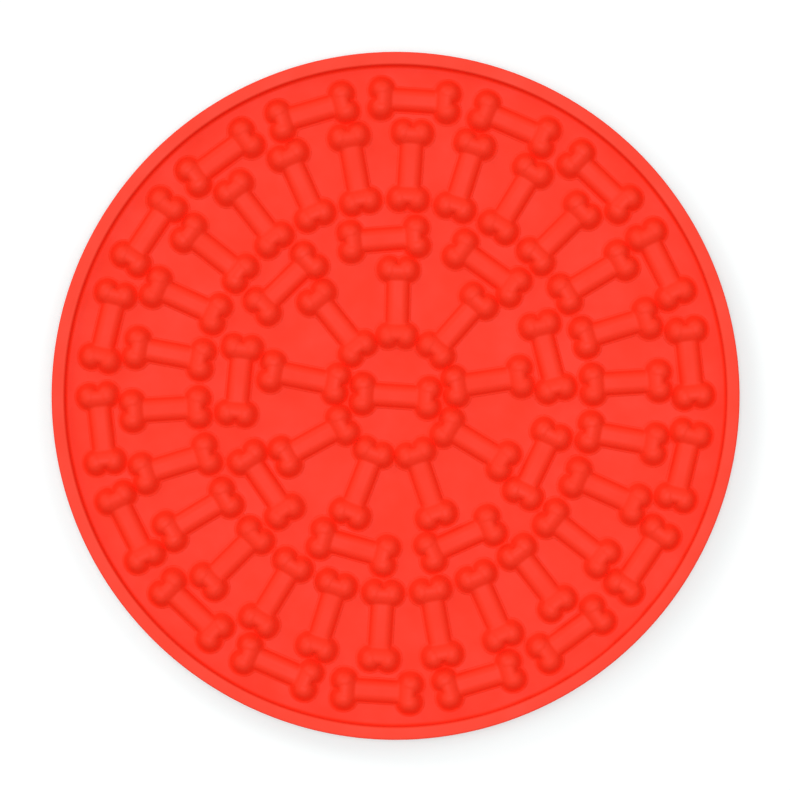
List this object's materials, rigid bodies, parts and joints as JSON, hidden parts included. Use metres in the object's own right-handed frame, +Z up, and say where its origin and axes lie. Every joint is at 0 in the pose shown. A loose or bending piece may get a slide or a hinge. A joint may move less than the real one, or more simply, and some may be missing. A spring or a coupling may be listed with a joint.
{
  "type": "lick mat",
  "caption": "Round silicone lick mat: a thin sheet with a raised rim, rings of raised bones to hold spread food, and suction cups underneath.",
  "frame": {"origin": "centre of the plane that the suction cups' lips rest on", "axes": "+Z up, out of the licking face; +Y towards the outer bone at the top; the centre bone lies along X"},
  "size_m": [0.1999, 0.1998, 0.0098],
  "materials": {
    "silicone": "opaque red moulded silicone, satin matt",
    "cups": "opaque red moulded silicone, smoother on the lips"
  },
  "bodies": {
    "root": {"sheet": "silicone", "rim": "silicone", "outer_bone_01": "silicone", "outer_bone_02": "silicone", "outer_bone_03": "silicone", "outer_bone_04": "silicone", "outer_bone_05": "silicone", "outer_bone_06": "silicone", "outer_bone_07": "silicone", "outer_bone_08": "silicone", "outer_bone_09": "silicone", "outer_bone_10": "silicone", "outer_bone_11": "silicone", "outer_bone_12": "silicone", "outer_bone_13": "silicone", "outer_bone_14": "silicone", "outer_bone_15": "silicone", "outer_bone_16": "silicone", "outer_bone_17": "silicone", "outer_bone_18": "silicone", "spoke_bones": "silicone", "middle_bone_01": "silicone", "middle_bone_02": "silicone", "middle_bone_03": "silicone", "middle_bone_04": "silicone", "middle_bone_05": "silicone", "middle_bone_06": "silicone", "middle_bone_07": "silicone", "middle_bone_08": "silicone", "middle_bone_09": "silicone", "inner_bone_01": "silicone", "inner_bone_02": "silicone", "inner_bone_03": "silicone", "inner_bone_04": "silicone", "inner_bone_05": "silicone", "inner_bone_06": "silicone", "inner_bone_07": "silicone", "inner_bone_08": "silicone", "inner_bone_09": "silicone", "centre_bone": "silicone", "centre_cup": "cups", "cup_ring_01": "cups", "cup_ring_02": "cups", "cup_ring_03": "cups"}
  },
  "joints": []
}
